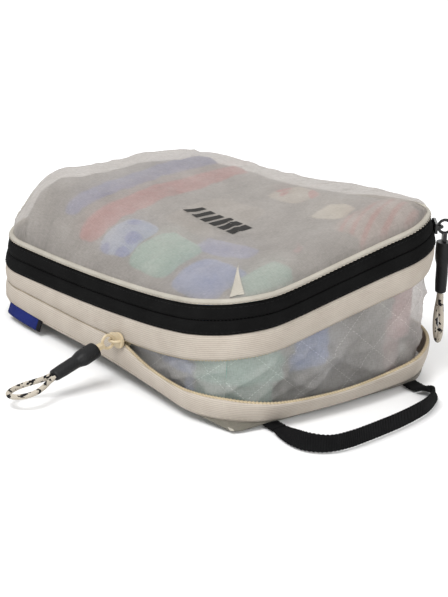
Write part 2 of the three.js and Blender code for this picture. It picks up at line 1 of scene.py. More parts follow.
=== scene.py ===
"""Looks of a compression packing cube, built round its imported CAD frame.

Shapes are worked out in millimetres in the CAD part's frame and reach Blender in metres.
"""
import json
import math
import bmesh
import bpy
import numpy as np
from mathutils import Matrix, Vector, noise
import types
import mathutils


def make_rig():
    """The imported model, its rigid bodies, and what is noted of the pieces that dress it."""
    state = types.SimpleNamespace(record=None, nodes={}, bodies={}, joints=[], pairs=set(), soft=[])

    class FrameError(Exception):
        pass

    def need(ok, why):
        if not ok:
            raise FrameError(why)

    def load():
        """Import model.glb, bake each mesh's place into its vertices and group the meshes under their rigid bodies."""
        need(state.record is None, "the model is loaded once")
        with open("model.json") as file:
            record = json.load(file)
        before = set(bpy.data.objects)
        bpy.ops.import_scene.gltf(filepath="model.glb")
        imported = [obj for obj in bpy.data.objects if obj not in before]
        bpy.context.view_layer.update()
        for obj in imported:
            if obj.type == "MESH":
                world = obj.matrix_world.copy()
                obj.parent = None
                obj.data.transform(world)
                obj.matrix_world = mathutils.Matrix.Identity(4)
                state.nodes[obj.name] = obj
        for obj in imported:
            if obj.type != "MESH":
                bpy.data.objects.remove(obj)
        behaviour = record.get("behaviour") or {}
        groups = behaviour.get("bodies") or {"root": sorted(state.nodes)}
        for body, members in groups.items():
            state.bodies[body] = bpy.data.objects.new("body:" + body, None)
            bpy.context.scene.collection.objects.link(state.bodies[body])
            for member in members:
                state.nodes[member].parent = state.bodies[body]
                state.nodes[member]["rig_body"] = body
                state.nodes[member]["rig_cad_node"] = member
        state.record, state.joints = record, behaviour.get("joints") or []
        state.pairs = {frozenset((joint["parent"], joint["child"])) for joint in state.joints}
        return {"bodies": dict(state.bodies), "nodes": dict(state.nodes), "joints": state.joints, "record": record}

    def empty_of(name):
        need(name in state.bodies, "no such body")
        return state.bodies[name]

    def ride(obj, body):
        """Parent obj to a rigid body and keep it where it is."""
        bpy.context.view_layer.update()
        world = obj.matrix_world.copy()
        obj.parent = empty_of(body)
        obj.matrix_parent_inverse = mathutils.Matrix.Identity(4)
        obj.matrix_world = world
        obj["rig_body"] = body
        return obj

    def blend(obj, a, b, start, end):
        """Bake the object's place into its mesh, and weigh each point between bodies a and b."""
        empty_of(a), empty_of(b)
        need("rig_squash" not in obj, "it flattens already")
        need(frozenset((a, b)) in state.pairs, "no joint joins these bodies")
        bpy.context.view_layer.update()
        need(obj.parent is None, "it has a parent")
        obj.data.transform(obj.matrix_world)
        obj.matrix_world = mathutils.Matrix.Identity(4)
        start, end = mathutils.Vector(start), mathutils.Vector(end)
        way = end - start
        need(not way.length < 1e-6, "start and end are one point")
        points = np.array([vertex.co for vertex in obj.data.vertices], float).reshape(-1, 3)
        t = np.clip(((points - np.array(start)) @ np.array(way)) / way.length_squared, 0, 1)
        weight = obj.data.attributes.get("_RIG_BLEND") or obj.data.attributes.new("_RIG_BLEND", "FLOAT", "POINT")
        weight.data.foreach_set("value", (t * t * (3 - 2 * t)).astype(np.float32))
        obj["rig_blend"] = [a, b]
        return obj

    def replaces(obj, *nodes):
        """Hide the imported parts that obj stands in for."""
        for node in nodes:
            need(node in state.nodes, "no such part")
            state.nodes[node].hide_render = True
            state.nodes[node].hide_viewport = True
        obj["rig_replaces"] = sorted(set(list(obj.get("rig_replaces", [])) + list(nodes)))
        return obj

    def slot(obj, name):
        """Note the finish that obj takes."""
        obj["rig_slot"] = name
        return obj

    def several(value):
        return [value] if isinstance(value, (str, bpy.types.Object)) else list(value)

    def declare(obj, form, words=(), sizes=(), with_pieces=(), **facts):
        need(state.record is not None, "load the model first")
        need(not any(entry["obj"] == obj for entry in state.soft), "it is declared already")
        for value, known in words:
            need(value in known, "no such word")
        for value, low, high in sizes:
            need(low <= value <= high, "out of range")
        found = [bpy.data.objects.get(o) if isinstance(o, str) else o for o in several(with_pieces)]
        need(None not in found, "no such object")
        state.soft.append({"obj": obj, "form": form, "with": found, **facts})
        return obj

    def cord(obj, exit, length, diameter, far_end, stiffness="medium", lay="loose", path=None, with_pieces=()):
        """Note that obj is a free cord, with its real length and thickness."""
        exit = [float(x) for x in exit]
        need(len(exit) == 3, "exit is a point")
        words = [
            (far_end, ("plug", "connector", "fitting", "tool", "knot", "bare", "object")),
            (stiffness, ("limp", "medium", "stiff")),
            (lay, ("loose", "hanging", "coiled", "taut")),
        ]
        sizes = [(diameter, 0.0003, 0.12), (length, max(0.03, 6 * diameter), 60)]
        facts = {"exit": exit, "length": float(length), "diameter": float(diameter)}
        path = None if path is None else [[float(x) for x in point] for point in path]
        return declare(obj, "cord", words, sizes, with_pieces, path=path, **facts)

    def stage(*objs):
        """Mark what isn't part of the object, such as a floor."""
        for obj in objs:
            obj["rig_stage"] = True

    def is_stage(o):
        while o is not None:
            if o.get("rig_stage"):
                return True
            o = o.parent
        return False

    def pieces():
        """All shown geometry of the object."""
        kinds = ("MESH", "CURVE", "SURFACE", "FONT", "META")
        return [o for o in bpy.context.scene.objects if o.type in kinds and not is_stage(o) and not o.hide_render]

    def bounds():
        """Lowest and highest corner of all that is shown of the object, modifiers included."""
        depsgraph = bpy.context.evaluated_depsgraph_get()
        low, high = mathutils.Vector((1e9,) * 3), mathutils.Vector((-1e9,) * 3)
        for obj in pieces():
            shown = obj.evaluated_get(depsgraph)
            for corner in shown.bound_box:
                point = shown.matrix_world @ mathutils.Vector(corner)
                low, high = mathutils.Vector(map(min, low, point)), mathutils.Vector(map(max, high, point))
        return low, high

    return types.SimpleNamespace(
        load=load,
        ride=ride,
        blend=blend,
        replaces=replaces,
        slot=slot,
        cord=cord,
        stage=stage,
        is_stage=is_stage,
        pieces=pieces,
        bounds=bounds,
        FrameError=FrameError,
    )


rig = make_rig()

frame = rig.load()
CAD_BOX = [list(corner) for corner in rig.bounds()]
NODES = frame["nodes"]
MM = 0.001
TAU = 2 * math.pi

# ---- The CAD part's outline and rows, in millimetres ----
# Places round the cube are stations: 0 is the front right corner, 4 the back right, 8 the back
# left and 12 the front left one, and a list of 16 values has one value for each whole station.
STATIONS = 16
CORNERS = ("front_right", "back_right", "back_left", "front_left")
HALF_X, HALF_Y, CORNER_R = 128, 91, 42
CLEAR, BAND = 0.4, 18.5  # the gap between pieces, and the height of the main zip's band
COIL_GAP, COIL_H, OPENING_EASE = 2.0, 2.0, 1.6
# The ivory bands: heights of the lower and upper teeth, width of the upper tape, height of the
# hem, and how far the hem and the lower teeth stand out.
TEETH_Z = [17.5, 14, 13, 16, 22, 24, 22, 21, 24.5, 27, 27, 27, 27, 27, 30.5, 18]
UPPER_Z = [43, 49, 57, 64.5, 70, 62, 46.5, 36, 28.5, 26, 25.5, 24.5, 23, 24.2, 26.1, 32]
UPPER_TAPE = [15, 15, 15, 15, 15, 15, 15, 15, 13, 11, 10, 9.5, 9, 10.5, 13.5, 15]
HEM_Z = [4.6, 4, 4.6, 5.5, 7, 8, 9, 9.5, 10, 10, 10, 10, 10, 9, 10, 8]
HEM_OUT = [1, 4, 6, 4, 1, 0, 0, 0, 0, 0, 0, 0, 0, 0, 0, 0]
TEETH_OUT = [3, 8, 9, 7, 4, 2, 0, 0, 0, 0, 0, 0, 0, 0, 0, 1]
# The base panel's outline: how far inside the bands it lies, and its corner radius.
BASE_IN_X = [-1, -1, -1, 0, 2, 4, 6, 8, 10, 11, 12, 13, 13, 9, 5, 1]
BASE_IN_Y = [8, 8, 8, 8, 8, 8, 8, 8, 9, 10, 11, 12, 14, 14, 13, 10]
BASE_CORNER_R = [10, 12, 16, 22, 26, 28, 30, 32, 34, 36, 38, 36, 34, 26, 18, 12]


def cubic(a, b, c, d, f):
    """The smooth curve through a, b, c and d, at share f of its stretch from b to c."""
    return b + 0.5 * f * (c - a + f * (2 * a - 5 * b + 4 * c - d + f * (3 * (b - c) + d - a)))


def around(values, t):
    k = math.floor(t)
    return cubic(*(values[(k + i) % STATIONS] for i in (-1, 0, 1, 2)), t - k)


def outline(t, a=HALF_X, b=HALF_Y, r=CORNER_R):
    """Point and outward normal at station t of a rounded rectangle."""
    t = t % STATIONS
    side = int(t // 4)
    s = t / 4 - side
    half = HALF_X if side % 2 else HALF_Y
    bend = math.pi / 4 * CORNER_R
    share = bend / (2 * bend + 2 * (half - CORNER_R))
    dx, dy = ((1, 0), (0, 1), (-1, 0), (0, -1))[side]
    tx, ty = -dy, dx
    out, reach = (b, a - r) if side % 2 else (a, b - r)
    if s < share or s > 1 - share:
        end = -1 if s < 0.5 else 1
        turn = end * math.pi / 4 * ((share - s if s < 0.5 else s - 1 + share) / share)
        nx = dx * math.cos(turn) + tx * math.sin(turn)
        ny = dy * math.cos(turn) + ty * math.sin(turn)
        cx, cy = dx * (out - r) + tx * end * reach, dy * (out - r) + ty * end * reach
        return cx + r * nx, cy + r * ny, nx, ny
    along = (s - share) / (1 - 2 * share) * 2 * reach - reach
    return dx * out + tx * along, dy * out + ty * along, dx, dy


def band_point(t, off, z):
    x, y, nx, ny = outline(t)
    return np.array((x + off * nx, y + off * ny, z))


def base_point(t, inset, z):
    in_x, in_y, r = (around(values, t) for values in (BASE_IN_X, BASE_IN_Y, BASE_CORNER_R))
    x, y, nx, ny = outline(t, HALF_X - in_x, HALF_Y - in_y, r)
    return np.array((x - inset * nx, y - inset * ny, z))


def teeth_z(t):
    open_z, closed_z = around(TEETH_Z, t), upper_teeth_z(t) - COIL_GAP
    return (open_z + closed_z - math.hypot(open_z - closed_z, OPENING_EASE)) / 2


def row_of(values):
    return lambda t: around(values, t)


hem_z, hem_out, teeth_out, upper_teeth_z = map(row_of, (HEM_Z, HEM_OUT, TEETH_OUT, UPPER_Z))


def band_z(t):
    return upper_teeth_z(t) + around(UPPER_TAPE, t)


def main_z(t):
    return band_z(t) + BAND / 2


# Arc length along the bands, so that teeth and stitches keep their pitch round the corners.
ARC_T = np.linspace(-STATIONS, 3 * STATIONS, 4 * STATIONS * 60 + 1)
ARC_P = np.array([band_point(t, 0, 0) for t in ARC_T])
ARC_S = np.concatenate([[0], np.cumsum(np.linalg.norm(np.diff(ARC_P, axis=0), axis=1))])


def arc(t):
    return float(np.interp(t, ARC_T, ARC_S))


def t_at(s):
    return float(np.interp(s, ARC_S, ARC_T))


def spaced(t0, t1, step):
    """Stations from t0 to t1, about step millimetres apart."""
    a, b = arc(t0), arc(t1)
    return [t_at(s) for s in np.linspace(a, b, max(2, round((b - a) / step)) + 1)]


def add_object(name, data):
    made = bpy.data.objects.new(name, data)
    bpy.context.scene.collection.objects.link(made)
    return made


# ---- Camera ----
AZ, EL, ROLL = math.radians(51), math.radians(21), math.radians(3)
CAMERA_AWAY, AIM_RIGHT, AIM_UP = 1.47, 0.0096, 0.0249  # metres
SENSOR_MM, LENS_MM = 36, 137.2
RIGHT = Vector((math.cos(AZ), math.sin(AZ), 0))
BACK = Vector((math.sin(AZ) * math.cos(EL), -math.cos(AZ) * math.cos(EL), math.sin(EL)))
UP = BACK.cross(RIGHT)
cam_right = RIGHT * math.cos(ROLL) + UP * math.sin(ROLL)
cam_up = UP * math.cos(ROLL) - RIGHT * math.sin(ROLL)
camera = add_object("camera", bpy.data.cameras.new("camera"))
aim = cam_right * AIM_RIGHT + cam_up * AIM_UP
turn = Matrix((cam_right, cam_up, BACK)).transposed().to_4x4()
camera.matrix_world = Matrix.Translation(aim + BACK * CAMERA_AWAY) @ turn
camera.data.sensor_width = SENSOR_MM
camera.data.lens = LENS_MM
bpy.context.scene.camera = camera


# ---- Meshes ----
def add_mesh(name, verts, faces, uvs, material, body, slot, replaces=(), merge=True):
    """A mesh in metres, from points in millimetres that each have a uv."""
    mesh = bpy.data.meshes.new(name)
    mesh.from_pydata([tuple(float(c) * MM for c in v) for v in verts], [], faces)
    layer = mesh.uv_layers.new(name="UVMap")
    loops = np.empty(len(mesh.loops), dtype=np.int32)
    mesh.loops.foreach_get("vertex_index", loops)
    layer.data.foreach_set("uv", (np.asarray(uvs, dtype=np.float32)[loops] * MM).ravel())
    mesh.polygons.foreach_set("use_smooth", [True] * len(mesh.polygons))
    mesh.materials.append(material)
    if merge:
        bm = bmesh.new()
        bm.from_mesh(mesh)
        bmesh.ops.remove_doubles(bm, verts=bm.verts, dist=1e-6)
        bmesh.ops.recalc_face_normals(bm, faces=bm.faces)
        bm.to_mesh(mesh)
        bm.free()
    piece = add_object(name, mesh)
    if replaces:
        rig.replaces(piece, *replaces)
    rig.slot(piece, slot)
    if body:
        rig.ride(piece, body)
    return piece


def grid_parts(columns, caps=False):
    """Vertices, quads and uvs of a grid, whose columns are (points, uvs)."""
    points, uvs = zip(*columns)
    cols, rows = len(points), len(points[0])
    faces = [
        (i * rows + j, (i + 1) * rows + j, (i + 1) * rows + j + 1, i * rows + j + 1)
        for i in range(cols - 1)
        for j in range(rows - 1)
    ]
    if caps:
        faces.append(tuple(range(rows - 1)))
        faces.append(tuple((cols - 1) * rows + j for j in reversed(range(rows - 1))))
    return [p for c in points for p in c], faces, [u for c in uvs for u in c]


def add_grid(name, columns, *rest, caps=False, **more):
    return add_mesh(name, *grid_parts(columns, caps), *rest, **more)


def from_above(points):
    """A grid's columns, with their uvs as seen from above."""
    return [(column, [(p[0], p[1]) for p in column]) for column in points]


def join_parts(parts):
    """Several (vertices, faces, uvs) as one."""
    verts, faces, uvs = [], [], []
    for v, f, u in parts:
        start = len(verts)
        verts += list(v)
        faces += [tuple(i + start for i in face) for face in f]
        uvs += list(u)
    return verts, faces, uvs


def strip(t0, t1, low, high, thick, step=2.2, rows=8, shape=None):
    """A tape between two (off, z) rows: a closed, round-edged section lofted along the bands."""
    columns = []
    for t in spaced(t0, t1, step):
        (o0, z0), (o1, z1) = low(t), high(t)
        height = math.hypot(o1 - o0, z1 - z0)
        section, v = [], []
        for j in range(rows + 1):
            f = j / rows
            off = o0 + (o1 - o0) * f + (shape(t, f) if shape else 0)
            edge = 0.3 * thick if j in (0, rows) else 0
            section.append((off - edge, z0 + (z1 - z0) * f))
            v.append(f * height)
        back = [(off - thick, z) for off, z in section]
        for k in (0, rows):
            back[k] = (back[k][0] + 0.6 * thick, back[k][1])
        section += back[::-1] + section[:1]
        v += v[::-1] + v[:1]
        columns.append(([band_point(t, off, z) for off, z in section], [(arc(t), y) for y in v]))
    return grid_parts(columns, caps=t1 - t0 < STATIONS)


def teeth(t0, t1, off, z, side, pitch=2.1):
    """One coil of a zip: a slim bead with a rounded tooth at each turn, meshing towards side."""
    count = round((arc(t1) - arc(t0)) / pitch)
    columns = []
    for i in range(count * 4 + 1):
        t = t_at(arc(t0) + (arc(t1) - arc(t0)) * i / (count * 4))
        bump = (0.0, 0.85, 1.0, 0.15)[i % 4]
        section = [
            (-1.1, 0.2),
            (0.15 + 0.55 * bump, 0.25),
            (0.45 + 0.6 * bump, 0.8),
            (0.35 + 0.6 * bump, 1.5 + 0.3 * bump),
            (-0.1 + 0.3 * bump, 2.0 + 0.5 * bump),
            (-1.1, 2.0 + 0.5 * bump),
            (-1.1, 0.2),
        ]
        rise = [h if side > 0 else COIL_H - h for _, h in section]
        points = [band_point(t, off(t) + o, z(t) + up) for (o, _), up in zip(section, rise)]
        columns.append((points, [(arc(t), h) for _, h in section]))
    return grid_parts(columns, caps=True)


def unit(v):
    return v / np.linalg.norm(v)


def walk(path):
    """(point, direction, distance) down a path."""
    distance = 0.0
    for i, p in enumerate(path):
        if i:
            distance += np.linalg.norm(p - path[i - 1])
        yield p, unit(path[min(i + 1, len(path) - 1)] - path[max(i - 1, 0)]), distance


def tube(path, radius, sides=8, up=(0, 0, 1)):
    """A tube along points; radius is a number or a function of (distance, angle)."""
    columns = []
    for p, ahead, distance in walk(path):
        across = unit(np.cross(up, ahead))
        over = np.cross(ahead, across)
        ring, uv = [], []
        for j in range(sides + 1):
            a = TAU * j / sides
            r = radius(distance, a) if callable(radius) else radius
            ring.append(p + across * (r * math.cos(a)) + over * (r * math.sin(a)))
            uv.append((distance, 10.0 * j / sides))
        columns.append((ring, uv))
    return grid_parts(columns, caps=True)


def stitches(path, lift, length=2.1, gap=1.1, thick=0.26):
    """Thread stitches, lift above a path: its start, its end, and (point, outward) at a distance."""
    start, end, at = path
    parts = []
    for s0 in np.arange(start, end - length, length + gap):
        thread = []
        for k, h in enumerate((-0.25, 0.12, 0.2, 0.12, -0.25)):
            p, out = at(s0 + length * k / 4)
            thread.append(p + out * (lift + h))
        _, out = at(s0 + length / 2)
        parts.append(tube(thread, thick, sides=5, up=out))
    return join_parts(parts)


def band_line(t0, t1, off, z):
    """A line along the bands at (off, z), as a path for stitches."""
    def at(s):
        t = t_at(s)
        _, _, nx, ny = outline(t)
        return band_point(t, off(t), z(t)), np.array((nx, ny, 0.0))
    return arc(t0), arc(t1), at


# ---- Materials ----
BUMP_M = 0.0004  # depth of a bump map, in metres


def rgb(r, g, b):
    """An sRGB colour, 0 to 255, as a linear one."""
    shares = (r / 255, g / 255, b / 255)
    linear = [c / 12.92 if c <= 0.04045 else ((c + 0.055) / 1.055) ** 2.4 for c in shares]
    return (*linear, 1.0)


def new_material(name):
    material = bpy.data.materials.new(name)
    material.use_nodes = True
    return material, material.node_tree, material.node_tree.nodes["Principled BSDF"]


def feed(tree, target, inputs):
    """Link sockets and set values on a node's inputs, by name or in order."""
    for key, value in inputs.items() if isinstance(inputs, dict) else enumerate(inputs):
        if isinstance(value, bpy.types.NodeSocket):
            tree.links.new(value, target.inputs[key])
        elif value is not None:
            target.inputs[key].default_value = value


def node(tree, kind, inputs=(), out=0, **props):
    made = tree.nodes.new("ShaderNode" + kind)
    for key, value in props.items():
        setattr(made, key, value)
    feed(tree, made, inputs)
    return made.outputs[out]


def calc(tree, op, a, b=None, c=None):
    return node(tree, "Math", (a, b, c), operation=op)


def mix(tree, factor, a, b, blend="MIX"):
    return node(tree, "MixRGB", (factor, a, b), blend_type=blend)


def product(tree, a, b):
    return calc(tree, "MULTIPLY", a, b)


def spread(tree, value, middle, gain, level):
    """A value's distance from middle, times gain, plus level."""
    return calc(tree, "MULTIPLY_ADD", calc(tree, "SUBTRACT", value, middle), gain, level)


def uv_axes(tree):
    """The UV map and its two axes."""
    uv = node(tree, "TexCoord", out="UV")
    split = node(tree, "SeparateXYZ", (uv,))
    return uv, split, split.node.outputs["Y"]


def wave(tree, coord, pitch_mm):
    """0 to 1 and back once per pitch along a coordinate in metres."""
    angle = product(tree, coord, TAU / (pitch_mm * MM))
    return calc(tree, "MULTIPLY_ADD", calc(tree, "SINE", angle), 0.5, 0.5)


def thin_line(tree, coord, pitch_mm, width_mm):
    """1 on a thin line once per pitch, else 0."""
    along = calc(tree, "FRACT", calc(tree, "DIVIDE", coord, pitch_mm * MM))
    return calc(tree, "LESS_THAN", along, width_mm / pitch_mm)


def noise_tex(tree, coord, size_mm, detail=3.0, rough=0.55):
    inputs = {"Vector": coord, "Scale": 1 / (size_mm * MM), "Detail": detail, "Roughness": rough}
    return node(tree, "TexNoise", inputs)


def pattern(tree, kind, u, v, pitch):
    """Height of a textile's surface, 0 to 1."""
    if kind == "weave":
        return spread(tree, wave(tree, u, pitch), 0.5, spread(tree, wave(tree, v, pitch), 0.5, 2.0, 0), 0.5)
    if kind == "rib":
        fine = product(tree, wave(tree, u, pitch * 0.5), 0.3)
        return calc(tree, "MULTIPLY_ADD", wave(tree, v, pitch), 0.7, fine)
    if kind == "herringbone":
        slant = calc(tree, "MULTIPLY_ADD", calc(tree, "PINGPONG", v, 0.0022), 1.4, u)
        return wave(tree, slant, pitch)
    if kind == "grosgrain":
        fine = product(tree, wave(tree, v, pitch * 0.45), 0.2)
        return calc(tree, "MULTIPLY_ADD", wave(tree, u, pitch), 0.8, fine)
    return wave(tree, calc(tree, "ADD", u, v), pitch)


def cloth(name, color, shade, rough, kind, pitch, bump=0.3, vary=18.0, sheen=0.0, spec=0.15):
    """An opaque textile, plastic or metal: two tones, with painted shade in the hollows of its pattern."""
    material, tree, shader = new_material(name)
    place = node(tree, "TexCoord", out="Object")
    _, u, v = uv_axes(tree)
    height = pattern(tree, kind, u, v, pitch)
    cloudy = noise_tex(tree, place, vary)
    fuzz = noise_tex(tree, place, 1.1, 4.0, 0.7)
    tone = spread(tree, fuzz, 0.5, 0.8, spread(tree, cloudy, 0.5, 1.6, 0.42))
    tone.node.use_clamp = True
    base = mix(tree, tone, rgb(*color), rgb(*shade))
    # Painted shade: the colour is multiplied down where the pattern's surface is low, down to 0.72 in the hollows.
    painted_hollow_shade = calc(tree, "MULTIPLY_ADD", height, 0.3, 0.72)
    base = mix(tree, 1.0, base, node(tree, "CombineXYZ", (painted_hollow_shade, painted_hollow_shade, painted_hollow_shade)), "MULTIPLY")
    level = calc(tree, "MULTIPLY_ADD", fuzz, 0.5, height)
    feed(tree, shader, {
        "Base Color": base,
        "Roughness": calc(tree, "MULTIPLY_ADD", fuzz, 0.16, rough - 0.08),
        "Specular IOR Level": spec,
        "Sheen Weight": sheen,
        "Sheen Roughness": 0.5,
        "Normal": node(tree, "Bump", {"Strength": bump, "Distance": BUMP_M, "Height": level}),
    })
    return material


def diamond_net(tree, u, v, pitch_mm):
    """1 on dashed lines that cross in diamonds, else 0."""
    slant = product(tree, v, 1.2)
    across = thin_line(tree, calc(tree, "ADD", u, slant), pitch_mm, 0.7)
    down = thin_line(tree, calc(tree, "SUBTRACT", u, slant), pitch_mm, 0.7)
    dash = calc(tree, "LESS_THAN", wave(tree, v, 1.5), 0.62)
    return product(tree, calc(tree, "MAXIMUM", across, down), dash)


def ripstop(name, color, shade, clear, net_mm=0.0):
    """Sheer cloth: a slubbed weave, part see-through, with a diamond net when net_mm is given."""
    material, tree, shader = new_material(name)
    place = node(tree, "TexCoord", out="Object")
    uv, u, v = uv_axes(tree)
    warp, weft = (noise_tex(tree, node(tree, "Mapping", {"Vector": uv, "Scale": scale}), 0.55, 2.0)
                  for scale in ((1, 0.16, 1), (0.16, 1, 1)))
    fine = product(tree, pattern(tree, "weave", u, v, 0.9), 0.2)
    weave = calc(tree, "MULTIPLY_ADD", calc(tree, "ADD", warp, weft), 0.5, fine)
    cloudy = noise_tex(tree, place, 26.0, 4.0)
    slub = noise_tex(tree, place, 1.6, 5.0, 0.75)
    tone = spread(tree, weave, 0.6, 1.1, spread(tree, cloudy, 0.5, 1.2, 0.45))
    tone.node.use_clamp = True
    base = mix(tree, tone, rgb(*color), rgb(*shade))
    level = calc(tree, "MULTIPLY_ADD", slub, 0.5, weave)
    gaps = spread(tree, cloudy, 0.5, 0.25, spread(tree, weave, 0.6, 0.3, clear))
    if net_mm:
        lines = diamond_net(tree, u, v, net_mm)
        base = mix(tree, product(tree, lines, 0.34), base, rgb(232, 229, 224))
        gaps = calc(tree, "MULTIPLY_ADD", lines, -0.12, gaps)
    gaps.node.use_clamp = True
    bump = node(tree, "Bump", {"Strength": 0.3, "Distance": BUMP_M, "Height": level})
    values = {"Roughness": 0.6, "Specular IOR Level": 0.25, "Sheen Weight": 0.12}
    feed(tree, shader, {"Base Color": base, "Normal": bump, **values})
    glow = node(tree, "BsdfTranslucent", {"Color": base, "Normal": bump})
    threads = node(tree, "MixShader", (0.3, shader.outputs[0], glow))
    holes = node(tree, "BsdfTransparent", {"Color": (0.96, 0.95, 0.94, 1)})
    sheer = node(tree, "MixShader", (gaps, threads, holes))
    tree.links.new(sheer, tree.nodes["Material Output"].inputs["Surface"])
    return material


LID_CLOTH = ripstop("ripstop_lid", (186, 180, 174), (162, 156, 150), 0.41)
GUSSET_CLOTH = ripstop("ripstop_gusset", (206, 203, 199), (172, 169, 166), 0.44, 38.0)
BASE_CLOTH = ripstop("ripstop_base", (138, 134, 123), (108, 104, 94), 0.2)
IVORY_TAPE = cloth("ivory_tape", (190, 181, 170), (172, 162, 150), 0.9, "rib", 1.25, 0.4)
IVORY_COIL = cloth("ivory_coil", (196, 180, 150), (164, 148, 120), 0.6, "herringbone", 2.1, spec=0.25)
IVORY_THREAD = cloth("ivory_thread", (202, 193, 180), (178, 168, 154), 0.8, "rib", 0.4, spec=0.2)
BLACK_TAPE = cloth("black_tape", (23, 23, 23), (13, 13, 13), 0.95, "herringbone", 1.1, 0.5, spec=0.06)
BLACK_COIL = cloth("black_coil", (20, 20, 21), (10, 10, 11), 0.55, "herringbone", 2.1)
BLACK_THREAD = cloth("black_thread", (32, 32, 33), (17, 17, 18), 0.8, "rib", 0.4, spec=0.1)
PIPING = cloth("seam_binding", (184, 179, 168), (163, 157, 146), 0.75, "weave", 0.9, spec=0.2)
WEBBING = cloth("black_webbing", (25, 25, 26), (13, 13, 14), 0.9, "grosgrain", 1.5, 0.9, spec=0.08)
LABEL = cloth("navy_label", (28, 42, 112), (17, 26, 82), 0.8, "rib", 0.5, 0.4)
LABEL_EDGE = cloth("label_edge", (20, 20, 26), (12, 12, 16), 0.8, "rib", 0.5, 0.4)
IVORY_METAL = cloth("ivory_metal", (214, 198, 166), (192, 174, 142), 0.4, "", 3.0, 0.05, spec=0.5)
BLACK_METAL = cloth("black_metal", (20, 20, 21), (13, 13, 14), 0.4, "", 3.0, 0.05, spec=0.4)
SLEEVE = cloth("black_sleeve", (20, 20, 21), (12, 12, 13), 0.5, "", 2.4, 0.12, spec=0.25)
INK = cloth("print_ink", (40, 38, 36), (30, 28, 27), 0.7, "weave", 0.9)


def dye(material, mask, color):
    """Lay a colour over a material's own, where mask is 1."""
    tree = material.node_tree
    target = tree.nodes["Principled BSDF"].inputs["Base Color"]
    tree.links.new(mix(tree, mask, target.links[0].from_socket, rgb(*color)), target)


def fleck_cord():
    """Braided cord: ivory strands with the odd black one, each a slanted cell of the braid."""
    material = cloth("fleck_cord", (200, 192, 178), (172, 163, 149), 0.85, "weave", 1.2, 0.5)
    tree = material.node_tree
    uv, u, v = uv_axes(tree)
    u, v = calc(tree, "DIVIDE", u, 1.9 * MM), calc(tree, "DIVIDE", v, 1.6 * MM)
    one = calc(tree, "FLOOR", calc(tree, "ADD", u, product(tree, v, 0.5)))
    two = calc(tree, "FLOOR", calc(tree, "SUBTRACT", v, product(tree, u, 0.5)))
    cell = node(tree, "TexWhiteNoise", {"Vector": node(tree, "CombineXYZ", (one, two, 0.37))})
    patch = node(tree, "TexNoise", {"Vector": uv, "Scale": 210.0, "Detail": 1.0})
    level = calc(tree, "MULTIPLY_ADD", patch, 1.9, product(tree, cell, 0.3))
    dye(material, calc(tree, "LESS_THAN", level, 0.98), (28, 27, 29))
    return material


FLECK_CORD = fleck_cord()


# ---- Sliders and their pulls ----
TAPE_T, PLATE_GAP, PLATE_T, RING_AT, RING_R, CRIMP_L = 1.2, 4.2, 1.5, 1.7, 4.2, 5.0
COMPRESSION_T, MAIN_T = 14.45, 20.17  # the sliders' stations
SLEEVE_L, CORD_D, LOOP_L = 33.0, 3.4, 30.0
SLEEVE_TOP = RING_R + CRIMP_L + CLEAR
LOOP_TOP = SLEEVE_TOP + SLEEVE_L + CLEAR
LOOP_SIDE = [(2, 0), (3.2, -5), (6.4, -12), (8, -19), (6.8, -25.5), (2.8, -LOOP_L)]
# A moulded sleeve's (distance, radius): shoulders by the crimp, a waist, then a slimmer grip.
SLEEVE_PROFILE = [
    (0, 2.5), (0.1, 5.0), (0.5, 5.65), (2.5, 5.85), (6, 6.0), (9.5, 6.05), (11.8, 5.75), (14, 5.0),
    (16, 4.7), (20, 4.75), (25, 4.7), (29, 4.5), (31.5, 4.4), (32.5, 4.0), (32.9, 2.8),
]
SQUARE_L = 15  # the sleeve's squarish part


def pull_frame(t, height, along):
    """Origin and axes of a pull: its ring's centre, the closing direction, up the pull, and x cross y."""
    before, after = (band_point(t + d, 0, height(t + d)) for d in (-0.1, 0.1))
    closing = unit(after - before)
    _, _, nx, ny = outline(t)
    outward = np.array((nx, ny, 0.0))
    outward = unit(outward - closing * outward.dot(closing))
    away = PLATE_GAP / 2 + PLATE_T + RING_AT + RING_R
    centre = band_point(t, -TAPE_T / 2, height(t)) + outward * away
    y = -unit(along - closing * along.dot(closing))
    return centre, closing, y, np.cross(closing, y)


def spline(points, steps):
    """A smooth curve through points, steps samples to a span."""
    p = [np.asarray(q, dtype=float) for q in points]
    p = [2 * p[0] - p[1], *p, 2 * p[-1] - p[-2]]
    made = []
    for four in zip(p, p[1:], p[2:], p[3:]):
        made += [cubic(*four, i / steps) for i in range(steps)]
    return made + [p[-2]]


def add_loop(name, world, up, lift, lay):
    """A pull's cord: out of the sleeve, round and back into it."""
    sides = [(-x, y) for x, y in LOOP_SIDE] + LOOP_SIDE[::-1]
    loop = [world(x, y - LOOP_TOP, lift * (y / LOOP_L) ** 2) for x, y in sides]
    path = spline(loop, 12)

    def braid(distance, angle):
        strand = math.sin(angle * 4 + distance * 1.75) * math.sin(angle * 4 - distance * 1.75)
        return CORD_D / 2 * (0.965 + 0.05 * abs(strand))

    mesh = tube(path, braid, sides=20, up=up)
    cord = add_mesh(name + "_cord", *mesh, FLECK_CORD, name + "_pull", "fleck_cord", [name + "_pull_cord"])
    metres = [[float(c) * MM for c in p] for p in path]
    length = sum(math.dist(a, b) for a, b in zip(metres, metres[1:]))
    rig.cord(cord, exit=metres[0], length=round(length, 4), diameter=CORD_D * MM,
            far_end="object", stiffness="medium", lay=lay, path=metres[::2])


